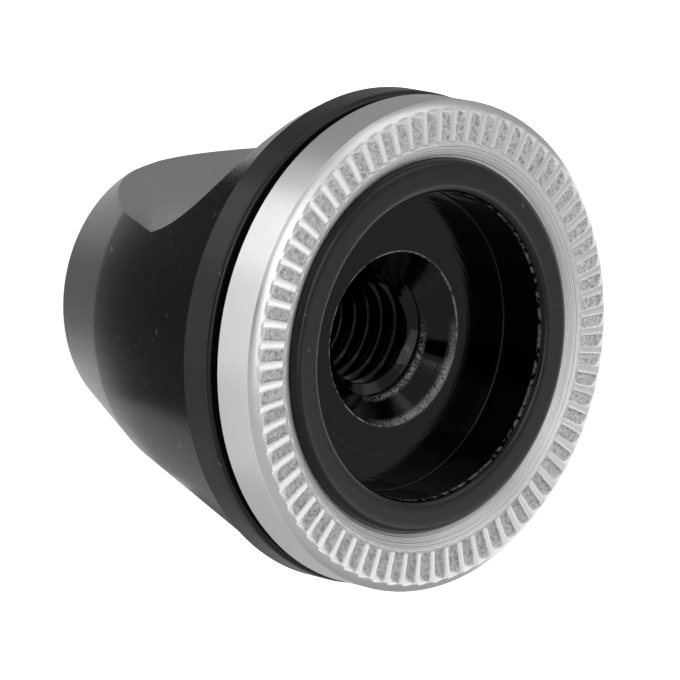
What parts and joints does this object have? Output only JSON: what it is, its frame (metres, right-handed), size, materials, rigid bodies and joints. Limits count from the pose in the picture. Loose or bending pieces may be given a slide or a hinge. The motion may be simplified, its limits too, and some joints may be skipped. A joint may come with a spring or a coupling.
{
  "type": "quick release skewer nut",
  "caption": "Conical quick release skewer nut with spanner flats, a threaded hole in a counterbore and a serrated steel clamping ring round its open face.",
  "frame": {"origin": "centre of the nose end, which the nut stands on", "axes": "+Z along the thread, out of the open serrated face; +X square to one spanner flat"},
  "size_m": [0.0202, 0.0202, 0.0166],
  "materials": {
    "nut_body": "satin black anodised",
    "serrated_ring": "bright plated"
  },
  "bodies": {
    "root": {"nut_body": "nut_body", "serrated_ring": "serrated_ring"}
  },
  "joints": []
}
